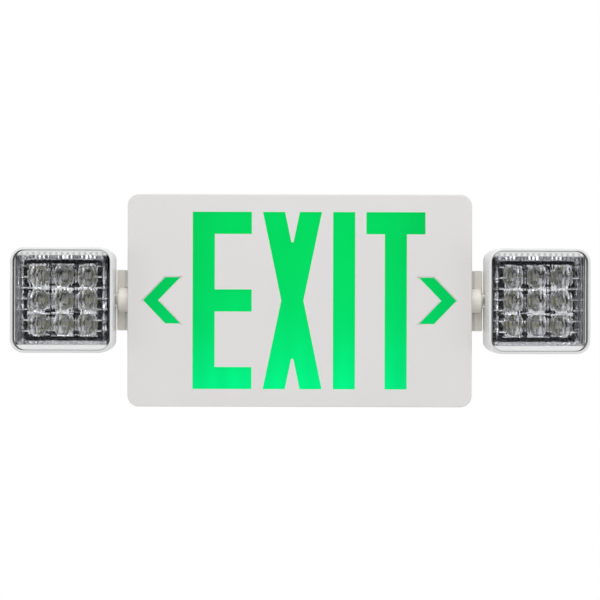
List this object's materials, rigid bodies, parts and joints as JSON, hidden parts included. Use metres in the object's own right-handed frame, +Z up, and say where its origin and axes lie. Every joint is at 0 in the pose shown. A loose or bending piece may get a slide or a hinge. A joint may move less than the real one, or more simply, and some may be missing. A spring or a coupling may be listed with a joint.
{
  "type": "emergency exit light",
  "caption": "Wall-mounted lit stencil exit sign with a green legend and a square tilting lamp head on each side.",
  "frame": {"origin": "centre of the wire entry on the mounting plate's rear face, in the wall plane", "axes": "+X to the viewer's right, +Y into the wall, +Z up; the face looks along -Y"},
  "size_m": [0.4947, 0.0684, 0.1833],
  "materials": {
    "face": "fine-grained off-white moulding",
    "housing": "fine-grained off-white moulding",
    "arm": "warm off-white moulding",
    "head": "satin light grey moulding",
    "legend": "translucent green sheet lit from behind",
    "tray": "bright white moulding",
    "lens": "clear moulding",
    "reflector": "vacuum-plated bright",
    "disc": "plain",
    "circuit": "lacquered laminate",
    "diode": "phosphor under clear resin",
    "core": "varnished laminations",
    "winding": "yellow tape",
    "can": "sleeved",
    "relay": "plain black",
    "terminal": "plain",
    "battery": "shrunk sleeve",
    "button": "satin",
    "status": "tinted resin",
    "steel": "zinc plated"
  },
  "bodies": {
    "housing": {"face_plate": "face", "legend_diffuser": "legend", "light_tray": "tray", "legend_strip": "circuit", "legend_chips": "diode", "housing_frame": "housing", "back_plate": "housing", "main_board": "circuit", "board_screws": "steel", "transformer_core": "core", "transformer_coil": "winding", "capacitors": "can", "transfer_relay": "relay", "terminal_block": "terminal", "battery_pack": "battery", "battery_strap": "steel", "strap_screws": "steel", "control_board": "circuit", "control_screws": "steel", "test_switch": "relay", "status_lamp": "status", "left_arm_bracket": "arm", "left_bracket_screws": "steel", "right_arm_bracket": "arm", "right_bracket_screws": "steel"},
    "button": {"test_button": "button", "switch_plunger": "relay"},
    "left_neck": {"left_arm_neck": "arm", "left_retaining_clip": "steel", "left_wave_washer": "steel"},
    "left_head": {"left_lamp_shell": "head", "left_swivel_pin": "steel", "left_swivel_nut": "steel", "left_friction_discs": "disc", "left_lamp_lens": "lens", "left_lamp_reflector": "reflector", "left_lamp_board": "circuit", "left_lamp_diodes": "diode", "left_lamp_board_screws": "steel"},
    "right_neck": {"right_arm_neck": "arm", "right_retaining_clip": "steel", "right_wave_washer": "steel"},
    "right_head": {"right_lamp_shell": "head", "right_swivel_pin": "steel", "right_swivel_nut": "steel", "right_friction_discs": "disc", "right_lamp_lens": "lens", "right_lamp_reflector": "reflector", "right_lamp_board": "circuit", "right_lamp_diodes": "diode", "right_lamp_board_screws": "steel"}
  },
  "joints": [
    {"name": "left_tilt", "type": "hinge", "parent": "housing", "child": "left_neck", "pos_m": [-0.155, -0.036, 0], "axis": [1, 0, 0], "range_deg": [-45, 45]},
    {"name": "left_swivel", "type": "hinge", "parent": "left_neck", "child": "left_head", "pos_m": [-0.1691, -0.036, 0], "axis": [0, 0, -1], "range_deg": [0, 25]},
    {"name": "right_tilt", "type": "hinge", "parent": "housing", "child": "right_neck", "pos_m": [0.155, -0.036, 0], "axis": [1, 0, 0], "range_deg": [-45, 45]},
    {"name": "right_swivel", "type": "hinge", "parent": "right_neck", "child": "right_head", "pos_m": [0.1691, -0.036, 0], "axis": [0, 0, 1], "range_deg": [-3, 22]},
    {"name": "test_press", "type": "slide", "parent": "housing", "child": "button", "axis": [0, 0, 1], "range_m": [0, 0.0013], "stiffness_N_per_m": 800, "springref_m": -0.0012}
  ]
}
